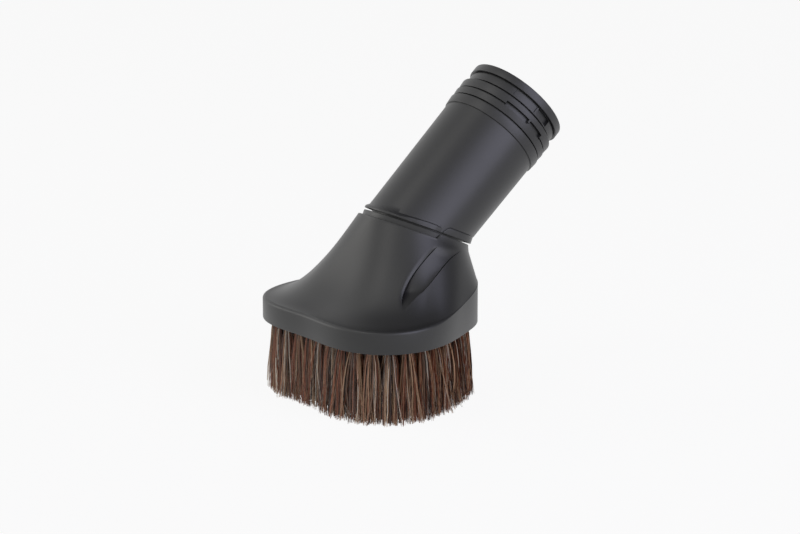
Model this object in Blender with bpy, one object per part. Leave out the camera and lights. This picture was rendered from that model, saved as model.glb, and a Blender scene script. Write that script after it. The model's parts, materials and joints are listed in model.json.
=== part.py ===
"""Vacuum dusting brush: a hollow hood over a ring of horsehair tufts, with a slanted neck that swivels.

Lengths are in metres. X runs across the brush, -Y is its toe, +Y its heel and Z is up. The tips of
the tufts are at Z = 0. Angles round the brush start at the toe, and +X is at a quarter turn.
"""

import math

import bmesh
import bpy
from mathutils import Matrix, Vector

MM = 0.001
TURN = 2 * math.pi

# Every hoop of the mouldings has this many points, edges flatter than this are shaded smooth, and
# pieces that touch are this far apart
HOOP_POINTS = 48
SMOOTH_BELOW = math.radians(35.0)
FIT_GAP = 0.3 * MM

# Spigot of the neck, which runs in the hood's bore. A split ring in a groove of it keeps it there
SPIGOT_BORE_RADIUS = 16.2 * MM
SPIGOT_WALL = 1.8 * MM
SPIGOT_RADIUS = SPIGOT_BORE_RADIUS + SPIGOT_WALL
SPIGOT_END = 1.3 * MM
LEDGE_DEPTH = 3.45 * MM
RING_GROOVE_DEPTH = 0.9 * MM
RING_WIDTH = 2.3 * MM
RING_THICKNESS = 1.5 * MM
RING_CLEARANCE = 0.4 * MM
RING_SPLIT_ANGLE = math.radians(24.0)
RING_STEPS = 32
RING_INNER_RADIUS = SPIGOT_RADIUS - RING_GROOVE_DEPTH + FIT_GAP
RING_OUTER_RADIUS = RING_INNER_RADIUS + RING_WIDTH

# The neck turns on the seam, whose axis is halfway between upright and the neck's own slant. The hood
# clears the ring inside, and its wall there gives the seam its radius
NECK_SLANT = math.radians(48.6)
SEAM_SLANT = NECK_SLANT / 2
SEAM_TO_HEEL = 11.5 * MM
SEAM_GROOVE = 0.8 * MM
SEAM_GROOVE_DEPTH = 1.3 * MM
HOOD_TOP_WALL = 1.5 * MM
HOOD_INNER_RADIUS = RING_OUTER_RADIUS + RING_CLEARANCE
SEAM_RADIUS = HOOD_INNER_RADIUS + HOOD_TOP_WALL

# Neck tube, a tapered socket for the wand, measured along its own axis from the seam. The wand stops at
# the step over the spigot's bore
NECK_LENGTH = 65.5 * MM
NECK_BOTTOM_WALL = 2.3 * MM
NECK_TOP_WALL = 2.4 * MM
NECK_EDGE = 0.4 * MM
SOCKET_STEP = 1.0 * MM
SOCKET_TAPER = 0.7 * MM
SOCKET_BOTTOM_RADIUS = SPIGOT_BORE_RADIUS + SOCKET_STEP
SOCKET_TOP_RADIUS = SOCKET_BOTTOM_RADIUS + SOCKET_TAPER
NECK_BOTTOM_RADIUS = SOCKET_BOTTOM_RADIUS + NECK_BOTTOM_WALL
NECK_TOP_RADIUS = SOCKET_TOP_RADIUS + NECK_TOP_WALL

# Collar: the band round the foot of the tube, split at each side of the brush
COLLAR_SHOULDER = 2.1 * MM
COLLAR_SLOPE = 1.2 * MM
COLLAR_TOP = COLLAR_SHOULDER + COLLAR_SLOPE
COLLAR_SPLIT_ANGLE = math.radians(78.75)
COLLAR_SPLIT_WIDTH = math.radians(7.0)

# End of the tube: a lip and a band, then three grip ribs below them, each a step off the tube
LIP_STEP = 0.1 * MM
LIP_HEIGHT = 3.2 * MM
LIP_RADIUS = NECK_TOP_RADIUS + LIP_STEP
BAND_STEP = 0.4 * MM
BAND_HEIGHT = 3.5 * MM
BAND_RADIUS = NECK_TOP_RADIUS - BAND_STEP
BAND_TO_RIB = 1.2 * MM
RIB_COUNT = 3
RIB_STEP = 0.5 * MM
RIB_WIDTH = 3.2 * MM
RIB_GAP = 1.1 * MM
RIB_EDGE = 0.3 * MM
RIB_RADIUS = NECK_TOP_RADIUS + RIB_STEP
FIRST_RIB = LIP_HEIGHT + BAND_HEIGHT + BAND_TO_RIB

# Moulded recesses at the tube's end, on both sides: degrees from the side towards the heel, start and
# end of the depth below the rim, and radius of the floor
RECESS_MARGIN = 0.4 * MM
WINDOW_HEIGHT = 2.8 * MM
WINDOW_DEPTH = 1.4 * MM
BAND_RECESS_HEIGHT = 2.9 * MM
BAND_RECESS_DEPTH = 0.4 * MM
RIB_RECESS_HEIGHT = 0.9 * MM
RIB_RECESS_DEPTH = 0.7 * MM
RECESS_TOP = LIP_HEIGHT + RECESS_MARGIN
WINDOW_SPAN = (RECESS_TOP, RECESS_TOP + WINDOW_HEIGHT)
BAND_RECESS_SPAN = (RECESS_TOP, RECESS_TOP + BAND_RECESS_HEIGHT)
FIRST_RIB_END = FIRST_RIB + RIB_WIDTH
RIB_RECESS_SPAN = (FIRST_RIB_END - RIB_RECESS_HEIGHT, FIRST_RIB_END + RECESS_MARGIN)
RECESSES = (
    ("window", (-10.2, 12.0), WINDOW_SPAN, BAND_RADIUS - WINDOW_DEPTH),
    ("band_recess", (-44.0, -12.7), BAND_RECESS_SPAN, BAND_RADIUS - BAND_RECESS_DEPTH),
    ("rib_recess_toe", (-44.0, -12.7), RIB_RECESS_SPAN, RIB_RADIUS - RIB_RECESS_DEPTH),
    ("rib_recess_heel", (-10.2, 12.8), RIB_RECESS_SPAN, RIB_RADIUS - RIB_RECESS_DEPTH),
)
RECESS_STEPS = 4
CUTTER_MARGIN = 2.0 * MM

# Skirt: the hood's outline is a mean radius and four cosine terms, blunt at the toe. Its foot is where
# the hair comes out
OUTLINE_TERMS = (39.1 * MM, 9.4 * MM, -1.2 * MM, -3.2 * MM, -2.3 * MM)
SKIRT_BOTTOM = 28.1 * MM
SKIRT_HEIGHT = 8.6 * MM
SKIRT_TOP = SKIRT_BOTTOM + SKIRT_HEIGHT
SKIRT_LOW_POINT = -32.8 * MM
SKIRT_RISE = 2.1 / 1000 / MM
SKIRT_EDGE = 1.2 * MM
WALL = 2.4 * MM
SEAT_DROP = 0.2 * MM

# Hood wall between the seam and the skirt
HOOD_HEIGHT = 34.8 * MM
SEAM_HEIGHT = SKIRT_BOTTOM + HOOD_HEIGHT
HOOD_LIP_STEP = 0.4 * MM
HOOD_LIP_HEIGHT = 2.0 * MM
HOOD_LIP_SLOPE = 0.3 * MM
HOOD_LIP_END = math.radians(76.0)
HOOD_LIP_RADIUS = SEAM_RADIUS - HOOD_LIP_STEP
SHOULDER_DEPTH = SEAM_GROOVE / 2 + HOOD_LIP_HEIGHT + HOOD_LIP_SLOPE
SHOULDER_TOE_FLARE = 1.4 * MM
WALL_STEPS = 9
FLARE = 0.36
STRAIGHT = 0.6
LEVEL_REACH = 18.0 * MM

# Finger grips: a long shallow scoop in each side of the wall, from its top to its tip
GRIP_TOP = (math.radians(94.0), 0.04)
GRIP_TIP = (math.radians(49.0), 0.53)
GRIP_HALF_WIDTH = 7.0 * MM
GRIP_HALF_LENGTH = 22.0 * MM
GRIP_DEPTH = 1.3 * MM
GRIP_ROUNDNESS = 4.0 * MM
NEARBY = 0.01

# Ring that fills the foot of the skirt, with two rows of blind holes for the tufts
TUFT_COUNTS = (32, 22)
TUFT_RING_HEADROOM = 0.4 * MM
TUFT_RING_HEIGHT = SKIRT_HEIGHT - WALL - SEAT_DROP - TUFT_RING_HEADROOM
TUFT_RING_INSET = WALL + FIT_GAP
OUTER_MARGIN = 1.1 * MM
INNER_MARGIN = 1.6 * MM
HOLE_RADIUS = 2.1 * MM
HOLE_FLOOR = 1.6 * MM
HOLE_DEPTH = TUFT_RING_HEIGHT - HOLE_FLOOR
ROW_PITCH = 5.7 * MM
ROW_SAMPLES = 720
FIRST_ROW = TUFT_RING_INSET + OUTER_MARGIN + HOLE_RADIUS
TUFT_INSETS = (FIRST_ROW, FIRST_ROW + ROW_PITCH)
TUFT_RING_WIDTH = OUTER_MARGIN + 2 * HOLE_RADIUS + ROW_PITCH + INNER_MARGIN

# Tufts: round in their holes, and spread at the tips until the rows and the tufts meet
TUFT_SIDES = 8
ROOT_RADIUS = HOLE_RADIUS - FIT_GAP
FIRST_ROW_SPREAD = 2.8 * MM
ROW_SPLIT = FIRST_ROW + FIRST_ROW_SPREAD
TIP_OUTER_INSET = 2.2 * MM
TIP_INNER_INSET = 15.0 * MM
TIP_SQUARENESS = 0.86
TUFT_DEPTHS = (0.0, 4.0 * MM, 14.0 * MM, SKIRT_BOTTOM)
TUFT_SPREADS = (0.0, 0.45, 0.85, 1.0)

SEAM_PLACE = Matrix.Translation((0, SEAM_TO_HEEL, SEAM_HEIGHT)) @ Matrix.Rotation(-SEAM_SLANT, 4, "X")
BEND = NECK_SLANT - SEAM_SLANT
TUBE_AXIS = Vector((0, math.sin(BEND), math.cos(BEND)))


def clear_scene():
    for obj in list(bpy.data.objects):
        bpy.data.objects.remove(obj)


def plain_material(name, color, roughness):
    """Plastic or hair: one colour, no metal."""
    material = bpy.data.materials.new(name)
    material.use_nodes = True
    shader = material.node_tree.nodes["Principled BSDF"]
    shader.inputs["Base Color"].default_value = (*color, 1)
    shader.inputs["Roughness"].default_value = roughness
    shader.inputs["Metallic"].default_value = 0
    return material


def new_object(name, bm, material, parent, place=None):
    """A named object from a bmesh, with its faces out, under its parent."""
    bmesh.ops.recalc_face_normals(bm, faces=bm.faces)
    mesh = bpy.data.meshes.new(name)
    bm.to_mesh(mesh)
    bm.free()
    mesh.shade_smooth()
    mesh.set_sharp_from_angle(angle=SMOOTH_BELOW)
    mesh.materials.append(material)
    obj = bpy.data.objects.new(name, mesh)
    bpy.context.scene.collection.objects.link(obj)
    obj.parent = parent
    if place:
        obj.matrix_basis = place
    return obj


def new_empty(name, parent=None, place=None):
    empty = bpy.data.objects.new(name, None)
    bpy.context.scene.collection.objects.link(empty)
    empty.parent = parent
    if place:
        empty.matrix_basis = place
    return empty


def skin(hoops, hollow):
    """Faces between each hoop and the next. A hollow form closes on its first hoop, others get end caps."""
    bm = bmesh.new()
    loops = [[bm.verts.new(point) for point in points] for points in hoops]
    pairs = list(zip(loops, loops[1:]))
    if hollow:
        pairs.append((loops[-1], loops[0]))
    else:
        bm.faces.new(loops[0])
        bm.faces.new(loops[-1])
    for upper, lower in pairs:
        for i in range(len(upper)):
            j = (i + 1) % len(upper)
            bm.faces.new((upper[i], upper[j], lower[j], lower[i]))
    return bm


def hoop(point_at, count=HOOP_POINTS):
    return [point_at(TURN * i / count) for i in range(count)]


def cut(obj, cutter):
    """Takes the cutter's shape out of the object."""
    cutter.hide_render = True
    cutter.display_type = "WIRE"
    modifier = obj.modifiers.new(cutter.name, "BOOLEAN")
    modifier.operation = "DIFFERENCE"
    modifier.object = cutter


def seam_point(radius, angle, height):
    """Point round the swivel axis, in the seam's own frame."""
    return Vector((radius * math.sin(angle), -radius * math.cos(angle), height))


def mitre_point(radius, angle, height):
    """Point of the slanted tube's surface at a height over the seam, in the seam's frame."""
    across = radius * math.sin(angle)
    back = height * math.tan(BEND) - radius * math.cos(angle) / math.cos(BEND)
    return Vector((across, back, height))


def tube_point(radius, angle, along):
    """Point round the tube's axis, at a distance along it, in the seam's frame."""
    back = along * math.sin(BEND) - radius * math.cos(angle) * math.cos(BEND)
    height = along * math.cos(BEND) + radius * math.cos(angle) * math.sin(BEND)
    return Vector((radius * math.sin(angle), back, height))


def collar_point(radius, angle, height):
    """The collar is round about the swivel axis, and drops to the tube where it is split."""
    off_split = abs(math.remainder(angle, TURN))
    in_split = abs(off_split - COLLAR_SPLIT_ANGLE) < COLLAR_SPLIT_WIDTH / 2
    return mitre_point(NECK_BOTTOM_RADIUS, angle, height) if in_split else seam_point(radius, angle, height)


def tube_radius(depth):
    """Outer radius of the tapered tube at a depth below its rim."""
    return NECK_TOP_RADIUS + (NECK_BOTTOM_RADIUS - NECK_TOP_RADIUS) * depth / NECK_LENGTH


def neck_end_profile():
    """Radius and depth below the rim, down the outside of the tube's end."""
    band_end = LIP_HEIGHT + BAND_HEIGHT
    profile = [
        (LIP_RADIUS - NECK_EDGE, 0),
        (LIP_RADIUS, NECK_EDGE),
        (LIP_RADIUS, LIP_HEIGHT),
        (BAND_RADIUS, LIP_HEIGHT + RIB_EDGE),
        (BAND_RADIUS, band_end),
        (tube_radius(band_end), band_end + RIB_EDGE),
    ]
    for i in range(RIB_COUNT):
        top = FIRST_RIB + i * (RIB_WIDTH + RIB_GAP)
        bottom = top + RIB_WIDTH
        profile.append((tube_radius(top), top))
        profile.append((RIB_RADIUS, top + RIB_EDGE))
        profile.append((RIB_RADIUS, bottom - RIB_EDGE))
        profile.append((tube_radius(bottom), bottom))
    return profile


def neck_hoops():
    """Down the outside from the rim, round the spigot and up the socket."""
    hoops = []
    for radius, depth in neck_end_profile():
        hoops.append(hoop(lambda a, r=radius, d=depth: tube_point(r, a, NECK_LENGTH - d)))
    hoops.append(hoop(lambda a: mitre_point(NECK_BOTTOM_RADIUS, a, COLLAR_TOP)))
    hoops.append(hoop(lambda a: collar_point(SEAM_RADIUS, a, COLLAR_SHOULDER)))
    hoops.append(hoop(lambda a: seam_point(SEAM_RADIUS, a, SEAM_GROOVE / 2)))
    groove_floor = SEAM_RADIUS - SEAM_GROOVE_DEPTH
    groove_bottom = LEDGE_DEPTH + RING_THICKNESS + 2 * FIT_GAP
    spigot_end = groove_bottom + SPIGOT_END
    spigot = (
        (groove_floor, SEAM_GROOVE / 2),
        (groove_floor, FIT_GAP / 2),
        (SPIGOT_RADIUS, FIT_GAP / 2),
        (SPIGOT_RADIUS, -LEDGE_DEPTH),
        (SPIGOT_RADIUS - RING_GROOVE_DEPTH, -LEDGE_DEPTH),
        (SPIGOT_RADIUS - RING_GROOVE_DEPTH, -groove_bottom),
        (SPIGOT_RADIUS, -groove_bottom),
        (SPIGOT_RADIUS - NECK_EDGE, -spigot_end),
        (SPIGOT_BORE_RADIUS, -spigot_end),
        (SPIGOT_BORE_RADIUS, -FIT_GAP),
    )
    for radius, height in spigot:
        hoops.append(hoop(lambda a, r=radius, h=height: seam_point(r, a, h)))
    hoops.append(hoop(lambda a: mitre_point(SOCKET_BOTTOM_RADIUS, a, COLLAR_TOP)))
    hoops.append(hoop(lambda a: tube_point(SOCKET_TOP_RADIUS, a, NECK_LENGTH)))
    return hoops


def sweep(points, axis, angle, steps):
    """Closed solid that a flat face makes as it turns round an axis through the seam's middle."""
    bm = bmesh.new()
    first = bm.faces.new([bm.verts.new(point) for point in points])
    geometry = [first, *first.edges, *first.verts]
    bmesh.ops.spin(bm, geom=geometry, cent=(0, 0, 0), axis=axis, angle=angle, steps=steps)
    return bm


def cut_recess(neck, assembly, recess, side):
    """Cuts one moulded recess into the tube's end, on the right (1) or the left (-1) of the brush."""
    name, degrees, depths, floor = recess
    outside = LIP_RADIUS + CUTTER_MARGIN
    start, end = (side * (TURN / 4 + math.radians(degree)) for degree in degrees)
    shallow, deep = (NECK_LENGTH - depth for depth in depths)
    corners = ((floor, shallow), (outside, shallow), (outside, deep), (floor, deep))
    section = [tube_point(radius, start, along) for radius, along in corners]
    block = sweep(section, TUBE_AXIS, end - start, RECESS_STEPS)
    name = f"{name}_{'right' if side > 0 else 'left'}"
    cut(neck, new_object(name, block, assembly["neck_plastic"], assembly["swivel"]))


def make_neck(assembly):
    tube = skin(neck_hoops(), True)
    neck = new_object("neck_tube", tube, assembly["neck_plastic"], assembly["swivel"])
    for recess in RECESSES:
        for side in (1, -1):
            cut_recess(neck, assembly, recess, side)


def make_retaining_ring(assembly):
    """Split ring in the spigot's groove, under the hood's ledge."""
    top = -LEDGE_DEPTH - FIT_GAP
    bottom = top - RING_THICKNESS
    corners = (
        (RING_INNER_RADIUS, top),
        (RING_OUTER_RADIUS, top),
        (RING_OUTER_RADIUS, bottom),
        (RING_INNER_RADIUS, bottom),
    )
    section = [seam_point(radius, RING_SPLIT_ANGLE / 2, height) for radius, height in corners]
    ring = sweep(section, (0, 0, 1), TURN - RING_SPLIT_ANGLE, RING_STEPS)
    new_object("retaining_ring", ring, assembly["ring_plastic"], assembly["swivel"])


def outline_point(angle, inset, height):
    """Point on the skirt's outline, moved in square to it."""
    radius = sum(term * math.cos(i * angle) for i, term in enumerate(OUTLINE_TERMS))
    slope = -sum(term * i * math.sin(i * angle) for i, term in enumerate(OUTLINE_TERMS))
    sine, cosine = math.sin(angle), math.cos(angle)
    along = Vector((slope * sine + radius * cosine, radius * sine - slope * cosine, 0)).normalized()
    return Vector((radius * sine - inset * along.y, -radius * cosine + inset * along.x, height))


def skirt_height(angle):
    """The skirt's top edge is low at the toe and sweeps up towards the heel as a parabola."""
    return SKIRT_TOP + SKIRT_RISE * (outline_point(angle, 0, 0).y - SKIRT_LOW_POINT) ** 2


def wall_point(angle, step, start, end):
    """Point on the hood's wall: straight from the seam, then flared out to the skirt.

    It ends level where the skirt reaches far out. Where it doesn't, the wall runs down to it on a slope.
    """
    out = (outline_point(angle, 0, 0) - outline_point(angle, 1, 0)).normalized()
    reach = max((end - start).dot(out), 0)
    share = min(reach / LEVEL_REACH, 1)
    level = share * share * (3 - 2 * share)
    turn = end - (end - start).lerp(out * reach, level) * FLARE
    middle = start.lerp(turn, STRAIGHT)
    rest = 1 - step
    return (
        rest**3 * start
        + 3 * rest**2 * step * middle
        + 3 * rest * step**2 * turn
        + step**3 * end
    )


def outer_wall_point(angle, step):
    shoulder = SEAM_RADIUS + SHOULDER_TOE_FLARE * (1 + math.cos(angle)) / 2
    start = SEAM_PLACE @ seam_point(shoulder, angle, -SHOULDER_DEPTH)
    end = outline_point(angle, SKIRT_EDGE, skirt_height(angle))
    return wall_point(angle, step, start, end)


def inner_wall_point(angle, step):
    start = SEAM_PLACE @ seam_point(HOOD_INNER_RADIUS, angle, -LEDGE_DEPTH)
    end = outline_point(angle, WALL + SKIRT_EDGE, skirt_height(angle) - WALL)
    return wall_point(angle, step, start, end)


def hood_lip_point(angle):
    """Foot of the narrow lip under the seam, which is set back only on the toe side of the grips."""
    toe_side = abs(math.remainder(angle, TURN)) < HOOD_LIP_END
    radius = HOOD_LIP_RADIUS if toe_side else SEAM_RADIUS
    return SEAM_PLACE @ seam_point(radius, angle, -SEAM_GROOVE / 2 - HOOD_LIP_HEIGHT)


def hood_hoops():
    """Down the outside from the seam, under the skirt and up the inside to the bore."""
    bore = SPIGOT_RADIUS + FIT_GAP
    groove_floor = SEAM_RADIUS - SEAM_GROOVE_DEPTH
    top = (
        (bore, -LEDGE_DEPTH),
        (bore, -FIT_GAP / 2),
        (groove_floor, -FIT_GAP / 2),
        (groove_floor, -SEAM_GROOVE / 2),
        (HOOD_LIP_RADIUS, -SEAM_GROOVE / 2),
    )
    hoops = [hoop(lambda a, r=r, h=h: SEAM_PLACE @ seam_point(r, a, h)) for r, h in top]
    hoops.append(hoop(hood_lip_point))
    steps = [i / WALL_STEPS for i in range(WALL_STEPS + 1)]
    hoops += [hoop(lambda a, s=s: outer_wall_point(a, s)) for s in steps]
    hoops.append(hoop(lambda a: outline_point(a, 0, skirt_height(a) - SKIRT_EDGE)))
    hoops.append(hoop(lambda a: outline_point(a, 0, SKIRT_BOTTOM)))
    hoops.append(hoop(lambda a: outline_point(a, WALL, SKIRT_BOTTOM)))
    hoops.append(hoop(lambda a: outline_point(a, WALL, skirt_height(a) - WALL - SEAT_DROP)))
    hoops += [hoop(lambda a, s=s: inner_wall_point(a, s)) for s in reversed(steps)]
    return hoops


def grip_scoop():
    """Ellipsoid that lies along the right-hand grip and dips into the wall by the grip's depth."""
    top = outer_wall_point(*GRIP_TOP)
    tip = outer_wall_point(*GRIP_TIP)
    angle = (GRIP_TOP[0] + GRIP_TIP[0]) / 2
    step = (GRIP_TOP[1] + GRIP_TIP[1]) / 2
    middle = outer_wall_point(angle, step)
    down = (tip - top).normalized()
    heelward = outer_wall_point(angle + NEARBY, step) - middle
    out = (outer_wall_point(angle, step + NEARBY) - middle).cross(heelward)
    out = (out - down * out.dot(down)).normalized()
    across = out.cross(down)
    middle = middle + out * (GRIP_ROUNDNESS - GRIP_DEPTH)
    size = (GRIP_HALF_LENGTH, GRIP_HALF_WIDTH, GRIP_ROUNDNESS)
    place = Matrix((down, across, out)).transposed().to_4x4()
    return Matrix.Translation(middle) @ place @ Matrix.Diagonal((*size, 1))


def make_hood(assembly):
    hood = new_object("hood", skin(hood_hoops(), True), assembly["hood_plastic"], assembly["base"])
    for name, side in (("right", 1), ("left", -1)):
        scoop = bmesh.new()
        place = Matrix.Scale(side, 4, (1, 0, 0)) @ grip_scoop()
        bmesh.ops.create_uvsphere(scoop, u_segments=24, v_segments=12, radius=1, matrix=place)
        cut(hood, new_object(f"grip_{name}", scoop, assembly["hood_plastic"], assembly["base"]))


def row_stations(count, inset):
    """Angles that space a row of tufts evenly along its own line."""
    points = [outline_point(TURN * i / ROW_SAMPLES, inset, 0) for i in range(ROW_SAMPLES + 1)]
    travel = [0.0]
    for a, b in zip(points, points[1:]):
        travel.append(travel[-1] + (b - a).length)
    stations = []
    for k in range(count):
        goal = travel[-1] * (k + 0.5) / count
        i = next(i for i in range(ROW_SAMPLES) if travel[i + 1] >= goal)
        share = (goal - travel[i]) / (travel[i + 1] - travel[i])
        stations.append(TURN * (i + share) / ROW_SAMPLES)
    return stations


def make_tuft_ring(assembly):
    """Ring that fills the foot of the skirt and holds the tufts in blind holes."""
    outer = TUFT_RING_INSET
    inner = outer + TUFT_RING_WIDTH
    top = SKIRT_BOTTOM + TUFT_RING_HEIGHT
    corners = ((outer, top), (outer, SKIRT_BOTTOM), (inner, SKIRT_BOTTOM), (inner, top))
    hoops = [hoop(lambda a, i=i, h=h: outline_point(a, i, h)) for i, h in corners]
    ring = new_object("tuft_ring", skin(hoops, True), assembly["base_plastic"], assembly["base"])
    drill = bmesh.new()
    for count, inset in zip(TUFT_COUNTS, TUFT_INSETS):
        for angle in row_stations(count, inset):
            middle = outline_point(angle, inset, SKIRT_BOTTOM)
            bmesh.ops.create_cone(
                drill,
                cap_ends=True,
                segments=TUFT_SIDES,
                radius1=HOLE_RADIUS,
                radius2=HOLE_RADIUS,
                depth=2 * HOLE_DEPTH,
                matrix=Matrix.Translation(middle) @ Matrix.Rotation(angle, 4, "Z"),
            )
    cut(ring, new_object("tuft_holes", drill, assembly["base_plastic"], assembly["base"]))


def tuft_hoop(station, half_width, insets, depth, share):
    """Cross-section of a tuft: round in its hole, and a block of the brush's tip at the bottom."""
    angle, inset = station
    root = outline_point(angle, inset, SKIRT_BOTTOM)
    near, far = insets
    points = []
    for k in range(TUFT_SIDES):
        turn = TURN * (k + 0.5) / TUFT_SIDES
        sine, cosine = math.sin(turn), math.cos(turn)
        side = Matrix.Rotation(angle, 4, "Z") @ Vector((ROOT_RADIUS * cosine, ROOT_RADIUS * sine, 0))
        stretch = TIP_SQUARENESS / max(abs(sine), abs(cosine))
        across = (near + far) / 2 + sine * stretch * (far - near) / 2
        tip = outline_point(angle + half_width * cosine * stretch, across, SKIRT_BOTTOM)
        point = (root + side).lerp(tip, share)
        point.z = SKIRT_BOTTOM - depth
        points.append(point - root)
    return points


def make_tufts(assembly):
    """Each tuft is a clump of hair that spreads from its hole until it meets the next ones."""
    spreads = (
        (TIP_OUTER_INSET, ROW_SPLIT - FIT_GAP / 2),
        (ROW_SPLIT + FIT_GAP / 2, TIP_INNER_INSET),
    )
    for row, (count, inset, insets) in enumerate(zip(TUFT_COUNTS, TUFT_INSETS, spreads), 1):
        stations = row_stations(count, inset)
        for i, angle in enumerate(stations):
            after = stations[(i + 1) % count]
            before = stations[i - 1]
            half_width = math.remainder(after - before, TURN) / 4
            root = outline_point(angle, inset, SKIRT_BOTTOM)
            hoops = [tuft_hoop((angle, inset), half_width, insets, FIT_GAP - HOLE_DEPTH, 0)]
            for depth, share in zip(TUFT_DEPTHS, TUFT_SPREADS):
                hoops.append(tuft_hoop((angle, inset), half_width, insets, depth, share))
            name = f"tuft_{row}_{i + 1:02d}"
            place = Matrix.Translation(root)
            new_object(name, skin(hoops, False), assembly["hair"], assembly["base"], place)


def centre_on_origin(base):
    """Moves the whole brush along Y until the middle of its box is over the origin."""
    bpy.context.view_layer.update()
    reach = [
        (obj.matrix_world @ vertex.co).y
        for obj in bpy.data.objects
        if obj.type == "MESH" and not obj.hide_render
        for vertex in obj.data.vertices
    ]
    base.location.y = -(min(reach) + max(reach)) / 2


def main():
    clear_scene()
    base = new_empty("brush_base")
    assembly = {
        "base": base,
        "swivel": new_empty("neck_swivel", base, SEAM_PLACE),
        "neck_plastic": plain_material("neck_abs", (0.055, 0.055, 0.058), 0.42),
        "hood_plastic": plain_material("hood_abs", (0.06, 0.06, 0.062), 0.42),
        "base_plastic": plain_material("tuft_ring_polypropylene", (0.025, 0.025, 0.025), 0.5),
        "ring_plastic": plain_material("retaining_ring_acetal", (0.015, 0.015, 0.015), 0.35),
        "hair": plain_material("horsehair", (0.06, 0.035, 0.025), 0.6),
    }
    make_neck(assembly)
    make_retaining_ring(assembly)
    make_hood(assembly)
    make_tuft_ring(assembly)
    make_tufts(assembly)
    centre_on_origin(base)


main()
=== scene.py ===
# %% [markdown]
# # A dusting brush for a vacuum cleaner
# The brush is two charcoal mouldings and a ring of horsehair. A hollow hood gathers the air, a
# slanted neck turns on top of it, and the hair lifts the dust. The solids that carry and turn are
# already made, and they come in as a frame that nothing here moves. This lesson makes the surfaces
# that the eye sees: the mouldings with their fillets, steps and grips, and the hair, strand by strand.

# %% The frame and its box
import json
import math

import bmesh
import bpy
import numpy as np
from mathutils import Matrix, Vector


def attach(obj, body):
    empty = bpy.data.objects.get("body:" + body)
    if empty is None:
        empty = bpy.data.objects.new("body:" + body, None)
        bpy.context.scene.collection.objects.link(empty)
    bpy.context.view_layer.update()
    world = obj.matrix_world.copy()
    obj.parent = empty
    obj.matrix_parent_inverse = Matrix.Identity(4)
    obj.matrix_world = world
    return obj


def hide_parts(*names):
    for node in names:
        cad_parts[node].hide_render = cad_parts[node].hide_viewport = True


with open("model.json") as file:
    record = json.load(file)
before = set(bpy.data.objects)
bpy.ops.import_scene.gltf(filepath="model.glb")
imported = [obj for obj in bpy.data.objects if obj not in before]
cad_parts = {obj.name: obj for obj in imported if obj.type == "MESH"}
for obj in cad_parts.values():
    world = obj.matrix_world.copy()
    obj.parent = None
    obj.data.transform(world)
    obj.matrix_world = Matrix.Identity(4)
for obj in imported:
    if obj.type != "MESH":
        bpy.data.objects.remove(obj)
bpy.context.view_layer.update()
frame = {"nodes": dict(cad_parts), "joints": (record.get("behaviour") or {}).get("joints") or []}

MM = 0.001
TURN = 2 * math.pi

# %% [markdown]
# The photograph looks at the brush from its right-hand side, a little from above, with a long lens.
# A long lens keeps the tube's sides almost parallel. So the camera stands more than a metre away and
# aims at the middle of the brush.

# %% Camera
CAMERA_AZIMUTH = math.radians(52.6)
CAMERA_ELEVATION = math.radians(14.4)
CAMERA_DISTANCE = 1.11305
CAMERA_TARGET = Vector((0.0235, -0.03043, 0.05577))
CAMERA_LENS = 135

camera = bpy.data.objects.new("camera", bpy.data.cameras.new("camera"))
camera.data.lens = CAMERA_LENS
camera.data.sensor_width = 36
back = Vector((math.sin(CAMERA_AZIMUTH), -math.cos(CAMERA_AZIMUTH), math.tan(CAMERA_ELEVATION)))
back.normalize()
camera.location = CAMERA_TARGET + CAMERA_DISTANCE * back
camera.rotation_mode = "QUATERNION"
camera.rotation_quaternion = (-back).to_track_quat("-Z", "Y")
camera.data.clip_start = 0.01
bpy.context.scene.collection.objects.link(camera)
bpy.context.scene.camera = camera
print("camera at", [round(x, 3) for x in camera.location])

# %% [markdown]
# Colours are written as they would be picked from a screen, in sRGB, and one function turns them
# into the linear values that shaders work in. One more function adds a node with its settings and
# links, so that each material below reads as a short list of what happens to the surface.

# %% Colour and node helpers
def linear(code):
    """Linear colour of an sRGB hex code."""
    channels = [int(code[i : i + 2], 16) / 255 for i in (1, 3, 5)]
    return [c / 12.92 if c <= 0.04045 else ((c + 0.055) / 1.055) ** 2.4 for c in channels] + [1.0]


def add_node(tree, kind, inputs=None, **settings):
    """Adds a node. Each input takes a value, or the output of an earlier node."""
    node = tree.nodes.new(kind)
    for name, value in settings.items():
        setattr(node, name, value)
    for name, value in (inputs or {}).items():
        if isinstance(value, bpy.types.NodeSocket):
            tree.links.new(value, node.inputs[name])
        else:
            node.inputs[name].default_value = value
    return node


def blank_material(name):
    """A material with no nodes yet but its output."""
    material = bpy.data.materials.new(name)
    material.use_nodes = True
    tree = material.node_tree
    tree.nodes.clear()
    return material, tree, tree.nodes.new("ShaderNodeOutputMaterial")


# %% [markdown]
# The neck and the hood are ABS, injection moulded in a tool with a fine spark-eroded texture. That
# texture gives the satin finish: broad soft highlights and no mirror image. Its real grain is about
# 0.1 mm, too fine to show here, so it is drawn 0.5 mm across and very shallow. The melt also cools
# unevenly, which leaves faint cloudy patches of a few centimetres where the gloss and the tone shift.

# %% Moulded ABS
ABS_GRAIN = 0.5 * MM
ABS_GRAIN_DEPTH = 0.006 * MM
ABS_CLOUD = 22 * MM
ABS_ROUGHNESS = (0.44, 0.36)
ABS_IOR = 1.53


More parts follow.
